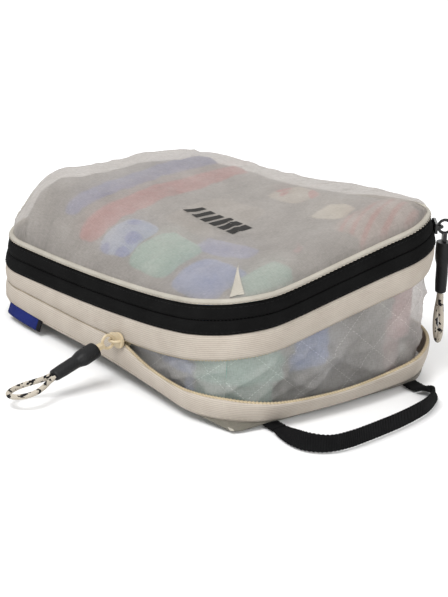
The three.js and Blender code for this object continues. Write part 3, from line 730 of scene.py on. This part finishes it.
def add_sleeve(name, world, seed, sides=32):
    """The sleeve between the crimp and the cord, slightly dented."""
    columns = []
    for d, r, _ in spline([(d, r, 0) for d, r in SLEEVE_PROFILE], 3):
        ring, uv = [], []
        for j in range(sides + 1):
            x, z = math.cos(TAU * j / sides), math.sin(TAU * j / sides)
            dent = 1 + 0.03 * noise.noise(Vector((d * 0.16, x * 1.2, z * 1.2 + seed)))
            square = (abs(x) ** 3 + abs(z) ** 3) ** (-1 / 3) if d < SQUARE_L else 1
            size = r * dent * (1 + (square - 1) * 0.35)
            ring.append(world(size * x, -SLEEVE_TOP - d, size * z * 0.8))
            uv.append((d, j * 0.8))
        columns.append((ring, uv))
    add_grid(name + "_sleeve", columns, SLEEVE, name + "_pull", "black_sleeve", [name + "_pull_sleeve"],
             caps=True)


def add_pull(name, where, lift, lay):
    centre, ax, ay, az = where

    def world(x, y, z):
        return centre + ax * x + ay * y + az * z

    add_loop(name, world, az, lift, lay)
    add_sleeve(name, world, lift)


def slider_z(t):
    return upper_teeth_z(t) - COIL_GAP / 2


add_pull("compression", pull_frame(COMPRESSION_T, slider_z, np.array((0, -1, -0.33))), 4, "loose")
add_pull("main", pull_frame(MAIN_T, main_z, np.array((0, 0, -1.0))), 0, "hanging")


def finish_node(name, material, bevel=0.35, levels=3):
    """A CAD node that stays in sight: its own material and softened edges."""
    piece = NODES[name]
    piece.data.materials.clear()
    piece.data.materials.append(material)
    edge = piece.modifiers.new("edges", "BEVEL")
    edge.width = bevel * MM
    edge.segments = levels
    edge.limit_method = "ANGLE"
    edge.angle_limit = math.radians(38)
    edge.harden_normals = True
    for polygon in piece.data.polygons:
        polygon.use_smooth = True


for name, metal in (("compression", IVORY_METAL), ("main", BLACK_METAL)):
    finish_node(name + "_slider_body", metal)
    finish_node(name + "_pull_ring", metal, 0.2, 2)

# ---- Zip tapes and coils ----
ZIP_FROM, ZIP_TO = 8.6, 20.6  # the main zip's ends; the hinge strip fills the rest
COIL_FROM, COIL_TO = 8.5, 24  # the compression coil's ends
# The main band leans back a little as it rises, most at the back right corner.
LEAN = [5, 4, 6, 10, 15, 9, 5, 3, 3, 3, 3, 4, 8, 4, 3, 4]


def band_row(t, h, off=0.0):
    lean = math.radians(around(LEAN, t))
    return off - h * math.sin(lean), main_z(t) + h * math.cos(lean) + off * math.sin(lean)


def puff(depth):
    """A tape's middle stands proud of its sewn edges, and ripples where it is eased round."""
    def shape(t, f):
        ripple = 1 + 0.35 * noise.noise(Vector((arc(t) * 0.03, f, 2)))
        return depth * math.sin(math.pi * f) * ripple
    return shape


def hem_shape(_, f):
    return math.sin(math.pi * f) + 0.5 * (1 - f) ** 6


def band(t0, t1, h0, h1, depth, rows, off0=0.0, off1=0.0):
    """A tape of the main zip's band, between two heights on it."""
    return strip(t0, t1, lambda t: band_row(t, h0, off0), lambda t: band_row(t, h1, off1), TAPE_T, rows=rows,
                 shape=puff(depth))


def leaning_teeth(side):
    rise = -2.6 if side > 0 else 0.6
    return teeth(ZIP_FROM, MAIN_T, lambda t: band_row(t, -1.5 * side)[0] - 1.2, lambda t: main_z(t) + rise,
                 side, 2.3)


def end_tab(t0, t1, z0, z1):
    """A tab sewn over a zip's end, proud of its tapes."""
    def shape(t, f):
        return 0.35 * math.sin(math.pi * f) * math.sin(math.pi * (t - t0) / (t1 - t0))
    return strip(t0, t1, lambda t: (2.7, z0(t)), lambda t: (2.7, z1(t)), 1.0, step=0.8, rows=6, shape=shape)


ZIP_PIECES = {
    "lower_tape": (
        strip(0, STATIONS, lambda t: (hem_out(t), hem_z(t)),
              lambda t: (teeth_out(t) + 0.4, teeth_z(t) + 0.7), TAPE_T, rows=11, shape=hem_shape),
        IVORY_TAPE, "base", "ivory_tape", "lower_compression_tape"),
    "upper_tape": (
        strip(0, STATIONS, lambda t: (0.4, upper_teeth_z(t) - 0.7),
              lambda t: (band_row(t, -9.1)[0] - 0.1, band_z(t) + 0.2), TAPE_T, rows=11, shape=puff(0.8)),
        IVORY_TAPE, "upper_ring", "ivory_tape", "upper_compression_tape"),
    "lower_coil": (
        teeth(COIL_FROM, COIL_TO, lambda t: teeth_out(t) - 1.1, lambda t: teeth_z(t) - 0.8, 1),
        IVORY_COIL, "base", "ivory_coil", "lower_compression_coil"),
    "upper_coil": (
        teeth(COIL_FROM, COIL_TO, lambda t: -1.1, lambda t: upper_teeth_z(t) - 1.2, -1),
        IVORY_COIL, "upper_ring", "ivory_coil", "upper_compression_coil"),
    "main_tape_lower": (
        band(ZIP_FROM, ZIP_TO, -8.9, -0.28, 0.5, 9, 0.35, 0.4),
        BLACK_TAPE, "upper_ring", "black_tape", "main_lower_tape"),
    "main_tape_upper": (
        band(ZIP_FROM, ZIP_TO, 0.28, 9.2, 0.5, 9, 0.4, 0.1),
        BLACK_TAPE, "lid", "black_tape", "main_upper_tape"),
    "main_coil_lower": (leaning_teeth(1), BLACK_COIL, "upper_ring", "black_coil", "main_lower_coil"),
    "main_coil_upper": (leaning_teeth(-1), BLACK_COIL, "lid", "black_coil", "main_upper_coil"),
    "hinge_strip": (
        band(4.65, 8.55, -9.0, 8.6, 0.7, 12),
        IVORY_TAPE, "upper_ring", "ivory_tape", "back_hinge_strip"),
    "main_zip_tab": (
        end_tab(20.35, ZIP_TO, lambda t: main_z(t) - 5, lambda t: main_z(t) + 5),
        BLACK_TAPE, "upper_ring", "black_tape", "main_zip_end_tab"),
    "compression_zip_tab": (
        end_tab(8.25, COIL_FROM, lambda t: teeth_z(t) - 4, lambda t: teeth_z(t) + 5),
        IVORY_TAPE, "base", "ivory_tape", "compression_zip_stop"),
}
for name, (parts, material, body, slot, cad) in ZIP_PIECES.items():
    add_mesh(name, *parts, material, body, slot, [cad])

# ---- Stitching ----
def sew(name, material, body, slot, *paths, **how):
    parts = join_parts(stitches(path, **how) for path in paths)
    add_mesh(name, *parts, material, body, slot, merge=False)


def sewn_band(h, t0=8.65, t1=20.5, stand=0.2):
    """A stitching line on the main zip's band, at height h on it."""
    return band_line(t0, t1, lambda t: band_row(t, h)[0] + stand, lambda t: band_row(t, h)[1])


sew("ivory_stitching_low", IVORY_THREAD, "base", "ivory_tape",
    band_line(0, STATIONS, lambda t: hem_out(t) + 0.5, lambda t: hem_z(t) + 1.9), lift=0.35)
sew("ivory_stitching_up", IVORY_THREAD, "upper_ring", "ivory_tape",
    band_line(0, STATIONS, lambda t: 0.35, lambda t: band_z(t) - 2.0), lift=0.2)
sew("black_stitching_low", BLACK_THREAD, "upper_ring", "black_tape", sewn_band(-7.4), lift=0.3)
sew("black_stitching_up", BLACK_THREAD, "lid", "black_tape", sewn_band(7.6), lift=0.2)

# ---- Lid ----
# Height of the filled lid over its middle area, on a 5 by 5 net from (-x, -y) to (+x, +y).
DOME = [
    [88, 86, 79, 79, 84],
    [91, 92, 88, 87, 94],
    [91, 93, 93, 97, 107],
    [90, 92, 98, 108, 118],
    [84, 89, 98, 108, 116],
]
# How far in from the edge the lid has risen to that height.
RISE = [34, 28, 24, 24, 27, 24, 22, 22, 24, 24, 24, 26, 30, 28, 30, 34]
PIPE_R = 1.7
DART_L = 40  # how far in from the edge the corners are drawn in


def net(values, fx, fy):
    """Bicubic interpolation on the 5 by 5 net; fx and fy run from 0 to 4."""
    def cut(row, f):
        k = min(3, max(0, int(f)))
        return cubic(row[max(0, k - 1)], row[k], row[k + 1], row[min(4, k + 2)], f - k)
    return cut([cut(row, fx) for row in values], fy)


def inset_of(x, y):
    """How far (x, y) lies inside the bands' outline."""
    qx, qy = abs(x) - (HALF_X - CORNER_R), abs(y) - (HALF_Y - CORNER_R)
    return CORNER_R - math.hypot(max(qx, 0), max(qy, 0)) - min(max(qx, qy), 0)


def rim(t):
    """(off, z) of the lid panel's edge, on top of the piping."""
    off, z = band_row(t, BAND / 2 + CLEAR + 2 * PIPE_R - 0.6)
    return off - 1.2, z


def creases(x, y, inset):
    """Slack in the cloth: broad dimples, a few sharp folds and puckers near the seam."""
    broad = noise.noise(Vector((x * 0.022, y * 0.026, 1.3))) * 1.7
    fold = 1 - abs(noise.noise(Vector((x * 0.030 + y * 0.012, y * 0.036 - x * 0.010, 7.1)))) * 2
    fine = noise.noise(Vector((x * 0.11, y * 0.11, 4.0))) * 0.28
    return (broad + 3.3 * max(0, fold - 0.72) + fine) * min(1, inset / 12)


def lid_surface(x, y, t):
    """Height of the lid's cloth at (x, y), whose nearest station is t."""
    inset = max(0.0, inset_of(x, y))
    low = rim(t)[1]
    f = min(1.0, inset / around(RISE, t))
    share = 1 - (1 - f) ** 1.75
    top = net(DOME, (x + HALF_X) / (HALF_X / 2), (y + HALF_Y) / (HALF_Y / 2))
    ruffle = math.sin(arc(t) * 0.55) * noise.noise(Vector((arc(t) * 0.05, 0, 5)))
    pucker = 2.8 * ruffle * math.exp(-inset / 7) * f
    return low + (top - low) * share + creases(x, y, inset) + pucker


def dart(t, inset):
    """Height added by the sewn dart down the middle of each corner."""
    near = (t + 2) % 4 - 2
    if abs(near) >= 1.2:
        return 0.0
    side = near * 16 * max(0.35, 1 - inset / CORNER_R)
    fade = max(0.0, 1 - inset / DART_L) * min(1.0, inset / 2)
    valley = 1.5 * math.exp(-(side / 1.6) ** 2)
    ridges = 0.7 * math.exp(-((abs(side) - 5) / 4) ** 2)
    return (ridges - valley) * fade


LID_INSETS = [0, 1, 2.2, 3.6, 5.2, 7, 9, 11, 13.5, 16, 18.5, 21]
LID_SCALES = [0.955, 0.91, 0.86, 0.81, 0.76, 0.7, 0.64, 0.58, 0.51, 0.44, 0.37, 0.3, 0.23, 0.16, 0.09, 0.0]


def lid_point(t, inset, scale=1.0, lift=0.0):
    """A point of the lid, inset from its edge at station t, then scaled towards the middle."""
    off, edge_z = rim(t)
    x, y, nx, ny = outline(t)
    x, y = (x + (off - inset) * nx) * scale, (y + (off - inset) * ny) * scale
    z = lid_surface(x, y, t) if inset > 0 else edge_z
    return np.array((x, y, z + dart(t, inset if scale == 1 else DART_L) + lift))


def lid_sheet():
    steps = [(inset, 1.0) for inset in LID_INSETS] + [(LID_INSETS[-1], scale) for scale in LID_SCALES]
    return [[lid_point(t, *step) for step in steps] for t in spaced(0, STATIONS, 2.6)]


add_grid("lid_cloth", from_above(lid_sheet()), LID_CLOTH, "lid", "ripstop", ["lid_panel"])


def piping_roll(sides=12):
    for t in spaced(0, STATIONS, 2.4):
        off, z = band_row(t, BAND / 2 + CLEAR + PIPE_R - 0.3)
        wobble = 1 + 0.05 * noise.noise(Vector((arc(t) * 0.06, 3, 0)))
        ring, uv = [], []
        for j in range(sides + 1):
            out = 1.9 * wobble * math.cos(TAU * j / sides)
            up = PIPE_R * wobble * math.sin(TAU * j / sides)
            ring.append(band_point(t, off - 1.0 + out, z + up))
            uv.append((arc(t), j * 1.1))
        yield ring, uv


add_grid("lid_piping_roll", piping_roll(), PIPING, "lid", "seam_binding", ["lid_piping"])


def dart_strip(corner, tall):
    """The dart's seam allowance: a narrow wedge down the corner."""
    for inset in (0.6 + (tall - 0.6) * k / 9 for k in range(10)):
        half = 0.11 * (1.02 - inset / tall) ** 0.8
        row = []
        for k in range(5):
            t = corner - 0.05 * inset / tall + half * (k / 2 - 1)
            row.append(lid_point(t, inset, lift=0.35 + 0.25 * math.sin(math.pi * k / 4)))
        yield row, [(p[2] + p[0], k * 1.2) for k, p in enumerate(row)]


def up_corner(t, tall):
    """A line up the lid's corner, as a path for stitches."""
    def at(inset):
        return lid_point(t + 0.06 * inset / tall, inset, lift=0.5), np.array((0.35, 0.1, 0.93))
    return 1.0, tall * 0.85, at


DARTS = ((0.1, 36), (4, 12), (8, 9), (12, 12))  # stations and lengths, in the order of CORNERS
for (corner, tall), where in zip(DARTS, CORNERS):
    add_grid("lid_dart_" + where, dart_strip(corner, tall), PIPING, "lid", "seam_binding",
             ["lid_corner_seam_" + where], merge=False)
sew("lid_dart_stitching", IVORY_THREAD, "lid", "seam_binding",
    *(up_corner(t - 0.11, tall) for t, tall in DARTS), lift=0.0, length=1.6, gap=1.0, thick=0.2)
sew("piping_stitching", IVORY_THREAD, "lid", "seam_binding", sewn_band(BAND / 2 + 1.2, 0, STATIONS, 1.0),
    lift=0.1, length=1.5, gap=1.5, thick=0.2)

MARK_X, MARK_Y, MARK_W, MARK_H, MARK_SLANT, MARK_T = 2.0, -20, 52, 13, 3.0, 14.5


def print_mark(bars=6, steps=7):
    """A printed mark: slanting bars of growing width, laid on the cloth."""
    parts = []
    for k in range(bars):
        left, wide = MARK_X + MARK_W * k / bars, 4.6 + 0.5 * k
        rows = []
        for f in (j / steps - 0.5 for j in range(steps + 1)):
            y = MARK_Y + MARK_H * f
            across = [left + wide * side + MARK_SLANT * f for side in (0, 0.5, 1)]
            rows.append([np.array((x, y, lid_surface(x, y, MARK_T) + 0.25)) for x in across])
        parts.append(grid_parts(from_above(rows)))
    return join_parts(parts)


add_mesh("lid_mark", *print_mark(), INK, "lid", "print_ink", ["lid_print"], merge=False)

# ---- Base and gusset ----
def base_floor():
    for t in spaced(0, STATIONS, 4):
        column = [base_point(t, i, z) for i, z in ((0, 1.9), (0.6, 1.2), (1.8, 0.6), (4, 0.25))]
        for scale in (0.9, 0.75, 0.55, 0.35, 0.15, 0.0):
            p = base_point(t, 4, 0.0) * scale
            p[2] = 0.2 + 0.5 * max(0, noise.noise(Vector((p[0] * 0.03, p[1] * 0.03, 2))))
            column.append(p)
        yield column


add_grid("base_floor", from_above(base_floor()), BASE_CLOTH, "base", "ripstop", ["base_panel"])


def base_wall(rows=6):
    for t in spaced(0, STATIONS, 2.2):
        low, high = base_point(t, 0.1, 2.0), band_point(t, hem_out(t) - 0.6, hem_z(t) + 0.6)
        _, _, nx, ny = outline(t)
        column = []
        for f in (j / rows for j in range(rows + 1)):
            ripple = 0.9 + 0.5 * noise.noise(Vector((arc(t) * 0.06, f * 2, 8)))
            column.append(low + (high - low) * f + np.array((nx, ny, 0)) * ripple * math.sin(math.pi * f))
        yield column, [(arc(t), 2 + j * 1.6) for j in range(rows + 1)]


add_grid("base_side", base_wall(), BASE_CLOTH, "base", "ripstop", ["base_wall"])


def base_seam(corner):
    low, high = base_point(corner, -0.3, 2.0), band_point(corner, hem_out(corner) - 0.5, hem_z(corner))
    for i, f in enumerate((0.0, 0.25, 0.5, 0.75, 1.0)):
        centre = low + (high - low) * f
        nx, ny = unit(centre[:2])
        side = np.array((-ny, nx, 0)) * (1.3 - 0.5 * f)
        bulge = np.array((nx, ny, 0)) * 0.8
        row = [centre - side + bulge * 0.5, centre + bulge, centre + side + bulge * 0.5]
        yield row, [(i * 2.0, j * 1.3) for j in range(3)]


for k, where in enumerate(CORNERS):
    add_grid("base_seam_" + where, base_seam(4 * k), PIPING, "base", "seam_binding",
             ["base_corner_seam_" + where], merge=False)

GUSSET_IN = 5.5  # how far behind the bands the gusset is sewn
GUSSET_LOW_Z, GUSSET_HIGH_Z = 12, 38  # it follows the base below the first, and the ring above the second
WIDE_OPEN = 26  # where the zip is open this far or more, the cloth is fully slack


def gusset_sheet(rows=30):
    for t in spaced(0, STATIONS, 2.0):
        z0, z1 = hem_z(t) + 1.0, band_z(t) - 2.0
        slack = min(1.0, (upper_teeth_z(t) - COIL_GAP - teeth_z(t)) / WIDE_OPEN)
        s = arc(t)
        column, uv = [], []
        for j in range(rows + 1):
            f = j / rows
            z = z0 + (z1 - z0) * f
            lean = (hem_out(t) - GUSSET_IN) * (1 - f) - GUSSET_IN * f
            billow = 3.0 * math.sin(math.pi * f) * slack
            slant = 1 - abs(noise.noise(Vector((s * 0.028 + z * 0.040, z * 0.016 - s * 0.008, 3.3)))) * 2
            other = 1 - abs(noise.noise(Vector((s * 0.030 - z * 0.045, z * 0.020, 9.1)))) * 2
            fold = max(0, slant) ** 3 * 3.4 + max(0, other) ** 4 * 2.6 - 1.9
            fold *= math.sin(math.pi * min(1, f * 1.05)) * slack
            soft = 1.6 * noise.noise(Vector((s * 0.04, z * 0.045, 6))) * slack
            column.append(band_point(t, lean + billow + fold + soft, z))
            uv.append((s, z))
        yield column, uv


gusset = add_grid("gusset_cloth", gusset_sheet(), GUSSET_CLOTH, None, "ripstop", ["expansion_gusset"])
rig.blend(gusset, "base", "upper_ring", start=(0, 0, GUSSET_LOW_Z * MM), end=(0, 0, GUSSET_HIGH_Z * MM))

# ---- Handle and label ----
HANDLE_W, HANDLE_T, HANDLE_X, HANDLE_Y = 11, 1.6, 139, (-54, 58)
# The webbing's middle line, and the direction across it.
HANDLE = [
    ((HANDLE_X, HANDLE_Y[0], 1.6), (0, 1, 0)),
    ((147, -56.5, 2.6), (-0.15, 1, 0.3)),
    ((158, -59, 4.6), (-0.4, 0.75, 0.75)),
    ((169, -58, 6), (-0.25, 0.2, 1)),
    ((177.5, -50, 6.3), (0, 0, 1)),
    ((179.5, -36, 6.3), (0, 0, 1)),
    ((177.5, -14, 6.3), (0, 0, 1)),
    ((173.5, 12, 6.3), (0, 0, 1)),
    ((167, 36, 6.3), (0, 0, 1)),
    ((158, 51, 6.2), (-0.1, -0.1, 1)),
    ((148, 57, 4.2), (-0.3, -0.8, 0.6)),
    ((HANDLE_X, HANDLE_Y[1], 1.6), (0, -1, 0)),
]

# The webbing's section: half its face, in half widths and thicknesses, mirrored twice.
WEB_HALF = [(-1, 0), (-0.93, 0.42), (-0.8, 0.5), (-0.4, 0.56), (0, 0.58)]
WEB_FACE = WEB_HALF + [(-a, b) for a, b in WEB_HALF[-2::-1]]
WEB_SECTION = WEB_FACE + [(-a, -b) for a, b in WEB_FACE[1:]]


def webbing(centres, widths, steps=28):
    """Flat webbing: rounded selvedges that scallop at each weft, and a slightly crowned face."""
    columns = []
    for (p, ahead, distance), side in zip(walk(spline(centres, steps)), spline(widths, steps)):
        side = unit(side)
        up = unit(np.cross(ahead, side))
        half = HANDLE_W / 2 + 0.22 * math.sin(TAU * distance / 2.6)
        rib = 0.12 * math.sin(TAU * distance / 1.3)
        rise = [b * (HANDLE_T + (rib if b > 0 else -rib)) for _, b in WEB_SECTION]
        points = [p + side * (a * half) + up * h for (a, _), h in zip(WEB_SECTION, rise)]
        columns.append((points, [(distance, 1.3 * k) for k in range(len(points))]))
    return grid_parts(columns, caps=True)


add_mesh("handle", *webbing(*zip(*HANDLE)), WEBBING, "handle", "black_webbing", ["handle_webbing"])
for y, where in zip(HANDLE_Y, ("front", "back")):
    ends = [(128, y, 1.9), (131, y, 1.7), (134.5, y, 1.6), (137.6, y, 1.6)]
    add_mesh("handle_end_" + where, *webbing(ends, [(0, 1, 0)] * 4, steps=10), WEBBING, "base",
             "black_webbing", ["handle_tab_" + where])

LABEL_FROM, LABEL_TO, LABEL_STEPS = 12.42, 13.05, 40
LABEL_EDGE_AT = 35  # the step from which its dark end begins


def folded_label():
    for t in np.linspace(LABEL_FROM, LABEL_TO, LABEL_STEPS):
        top, low = hem_z(t) + 1.3, hem_z(t) - 5.6
        sag = 0.5 * math.sin(3.0 * (t - LABEL_FROM) / (LABEL_TO - LABEL_FROM))
        outer = [(1.2, top), (1.6, top - 1.6), (2.2 + sag, top - 3.8)]
        outer += [(2.9 + sag, low + 1.2), (2.8 + sag, low)]
        section = outer + [(off - 0.75, z) for off, z in outer[::-1]]
        section.append(section[0])
        yield [band_point(t, off, z) for off, z in section], [(arc(t), k * 1.8) for k in range(len(section))]


label = list(folded_label())
for name, cut, material in (("hem_label", slice(LABEL_EDGE_AT + 1), LABEL),
                            ("hem_label_end", slice(LABEL_EDGE_AT, None), LABEL_EDGE)):
    add_grid(name, label[cut], material, "base", "navy_label", ["side_label"], caps=True)

# ---- Contents: folded clothes ----
def garment_cloth(name, color, shade, print_kind=None, ink=None):
    material = cloth(name, color, shade, 0.9, "weave", 1.3, 0.5, vary=26.0, sheen=0.4, spec=0.4)
    tree = material.node_tree
    place = node(tree, "TexCoord", out="Object")
    if print_kind == "stripes":
        split = node(tree, "SeparateXYZ", (place,))
        slant = calc(tree, "ADD", split, product(tree, split.node.outputs["Y"], 0.5))
        dye(material, product(tree, thin_line(tree, slant, 9, 3.2), 0.85), ink)
    elif print_kind == "spots":
        spots = node(tree, "TexVoronoi", {"Vector": place, "Scale": 62.0, "Randomness": 0.9})
        dye(material, product(tree, calc(tree, "LESS_THAN", spots, 0.34), 0.85), ink)
    return material


PER_STATION = 20
EDGE_XY = np.array([outline(k / PER_STATION)[:2] for k in range(STATIONS * PER_STATION)])


def under_lid(x, y, room):
    """Height of the cloth over (x, y), less some room."""
    nearest = int(np.argmin(np.hypot(EDGE_XY[:, 0] - x, EDGE_XY[:, 1] - y)))
    return lid_surface(x, y, nearest / PER_STATION) - room


def keep_inside(x, y, room):
    """(x, y) moved in, where need be, to leave room inside the bands' outline."""
    ax, ay = HALF_X - CORNER_R, HALF_Y - CORNER_R
    qx, qy = max(abs(x) - ax, 0), max(abs(y) - ay, 0)
    share = min(1, (CORNER_R - room) / max(1e-6, math.hypot(qx, qy)))
    return math.copysign(min(abs(x), ax) + qx * share, x), math.copysign(min(abs(y), ay) + qy * share, y)


LOW_Z, LOW_SIDE, LOW_LEFT = 24, 15, -108  # near the floor the clothes keep clear of the sloping walls
MID_Z = 60
CORNER_POWER = 4.5  # of the superellipse that a folded garment looks like from above


def garment_profile(layers):
    """(share of the height, inset, scale) up a garment's side, whose layers show as rolled folds."""
    rings = []
    for f in (j / (6 * layers) for j in range(6 * layers + 1)):
        roll = 1.3 * abs(math.sin(math.pi * layers * f)) - 1.3
        turn_in = max(0.0, abs(2 * f - 1) - 0.6) / 0.4
        rings.append((f, roll - 5.0 * (1 - math.sqrt(max(0.0, 1 - turn_in ** 2))), 1.0))
    bottom = [(0.0, rings[0][1], k) for k in (0.0, 0.4, 0.8)]
    top = [(1.0, rings[-1][1], k) for k in (0.94, 0.82, 0.66, 0.48, 0.3, 0.14, 0.0)]
    return bottom + rings + top


def garment(name, x, y, wide, deep, angle, z0, z1, layers, material, seed, room=1.2, side=9.0, sides=56):
    """A folded garment, as a soft slab; z1 None fills up to the lid."""
    c, s = math.cos(math.radians(angle)), math.sin(math.radians(angle))
    columns = []
    for i in range(sides + 1):
        a = TAU * (i % sides) / sides
        ca, sa = math.cos(a), math.sin(a)
        r = (abs(ca) ** CORNER_POWER + abs(sa) ** CORNER_POWER) ** (-1 / CORNER_POWER)
        column, uv = [], []
        for f, inset, k in garment_profile(layers):
            drift = 1.4 * noise.noise(Vector((a * 1.3 + seed, f * 3, seed)))
            lx = ca * r * (wide / 2 + inset) * k * (1 + drift / wide)
            ly = sa * r * (deep / 2 + inset) * k * (1 + drift / deep)
            px, py = x + lx * c - ly * s, y + lx * s + ly * c
            level = z0 + (MID_Z - z0) * f
            px, py = keep_inside(px, py, side if level > LOW_Z else max(LOW_SIDE, side))
            if level < LOW_Z:
                px = max(LOW_LEFT, px)
            high = under_lid(px, py, room) if z1 is None else z1
            bump = 0.7 * noise.noise(Vector((px * 0.05 + seed, py * 0.05, seed))) - 0.7
            high += (bump - 1.4 * k ** 4) * min(1, f * 1.5)
            column.append(np.array((px, py, z0 + (high - z0) * f)))
            uv.append((a * 20, f * 30 + k * 20))
        columns.append((column, uv))
    add_grid("contents_" + name, columns, material, "base", "ripstop")


LILAC = garment_cloth("knit_lilac", (112, 128, 190), (84, 98, 160))
RED = garment_cloth("knit_red", (196, 84, 86), (160, 58, 64))
BLUE = garment_cloth("print_blue", (176, 196, 226), (120, 150, 206), "spots", (70, 104, 186))
MINT = garment_cloth("knit_mint", (140, 196, 182), (104, 166, 152))
SKY = garment_cloth("knit_sky", (110, 148, 214), (80, 116, 190))
GREY = garment_cloth("knit_grey", (132, 130, 128), (104, 102, 100))
TAUPE = garment_cloth("knit_taupe", (160, 154, 146), (134, 128, 120))
IVORY = garment_cloth("knit_ivory", (236, 230, 214), (220, 212, 192))
STRIPE = garment_cloth("knit_stripe", (176, 158, 152), (156, 138, 132), "stripes", (168, 84, 80))
FLORAL = garment_cloth("print_rose", (214, 206, 192), (190, 180, 166), "spots", (190, 84, 92))
PINK = garment_cloth("knit_pink", (206, 158, 160), (182, 130, 134))
PALE = garment_cloth("knit_pale", (150, 160, 206), (126, 138, 188))

# Each line: name, middle, width, depth, angle, floor, top, layers, cloth and the seed of its dents.
# A thick folded garment fills the middle, and the rest lie round and over it.
garment("filling", 0, 0, 244, 172, 0, 3, None, 7, GREY, 0.5, room=4.8, side=11.5)
# Lower stack, seen through the gusset.
garment("low_front", 4, -64, 92, 32, 0, 3, 50, 4, BLUE, 2.0)
garment("low_sky", 68, -62, 34, 38, 0, 3, 53, 4, SKY, 3.0)
garment("low_mint", 100, -56, 38, 50, 0, 3, 54, 4, MINT, 4.0)
garment("low_blue", 106, -14, 27, 30, 0, 3, 58, 5, SKY, 5.0)
garment("low_side", 106, 24, 27, 44, 0, 3, 62, 5, GREY, 5.5)
garment("low_back", 104, 64, 30, 34, 0, 3, 68, 5, PINK, 6.0)
# Upper stack, pressed against the lid.
garment("top_lilac", -76, 0, 22, 146, 13, 46.5, None, 2, LILAC, 8.0)
garment("top_red", -45, -4, 27, 148, 10, 50.5, None, 2, RED, 9.0)
garment("top_blue", -8, -60, 32, 34, 8, 50.5, None, 2, BLUE, 10.0)
garment("top_mint", 28, -58, 42, 38, 0, 50.5, None, 2, MINT, 13.0)
garment("top_sky", 76, -62, 46, 34, -4, 53.5, None, 2, SKY, 10.5)
garment("top_green", 107, -48, 24, 38, 4, 54.5, None, 2, MINT, 13.5)
garment("top_lilac_small", 56, -34, 44, 20, 16, 60.5, None, 2, PALE, 14.0)
garment("top_taupe", 12, -8, 56, 56, 4, 58.5, None, 2, TAUPE, 11.0)
garment("top_rose", 22, 46, 40, 30, -8, 58.5, None, 2, FLORAL, 12.0)
garment("top_pink", 96, -12, 12, 14, 30, 62.5, None, 1, PINK, 15.0)
garment("top_ivory", 74, 34, 28, 24, 14, 60.5, None, 2, IVORY, 16.0)
garment("top_stripe", 102, 46, 34, 62, 8, 68.5, None, 3, STRIPE, 17.0)

# ---- Floor, light ----
FLOOR_HALF, FLOOR_Z = 3.0, -0.0004  # metres


def add_floor():
    mesh = bpy.data.meshes.new("floor")
    corners = [(x * FLOOR_HALF, y * FLOOR_HALF, FLOOR_Z) for x, y in ((-1, -1), (1, -1), (1, 1), (-1, 1))]
    mesh.from_pydata(corners, [], [(0, 1, 2, 3)])
    material, tree, shader = new_material("floor")
    feed(tree, shader, {"Base Color": (0.86, 0.86, 0.86, 1), "Roughness": 0.8})
    mesh.materials.append(material)
    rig.stage(add_object("floor", mesh))


add_floor()


def lamp(name, place, size, energy):
    """A soft round lamp, aimed at the middle of the cube."""
    data = bpy.data.lights.new(name, "AREA")
    data.shape, data.size, data.energy = "DISK", size, energy
    made = add_object(name, data)
    made.location = place
    made.rotation_euler = (Vector((0, 0, 0.05)) - Vector(place)).to_track_quat("-Z", "Y").to_euler()


lamp("key", (0.2, -0.9, 1.5), 0.9, 22)
lamp("fill", (1.6, -0.4, 0.7), 1.2, 9)
lamp("rim", (-1.0, 1.0, 1.1), 0.9, 10)
world = bpy.data.worlds.new("studio")
world.use_nodes = True
background = world.node_tree.nodes["Background"]
background.inputs["Color"].default_value = (1, 1, 1, 1)
background.inputs["Strength"].default_value = 0.75
bpy.context.scene.world = world
bpy.context.scene.view_settings.view_transform = "Standard"

with open("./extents.json", "w") as sizes:
    json.dump({"cad": CAD_BOX, "visual": [list(corner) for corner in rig.bounds()]}, sizes)
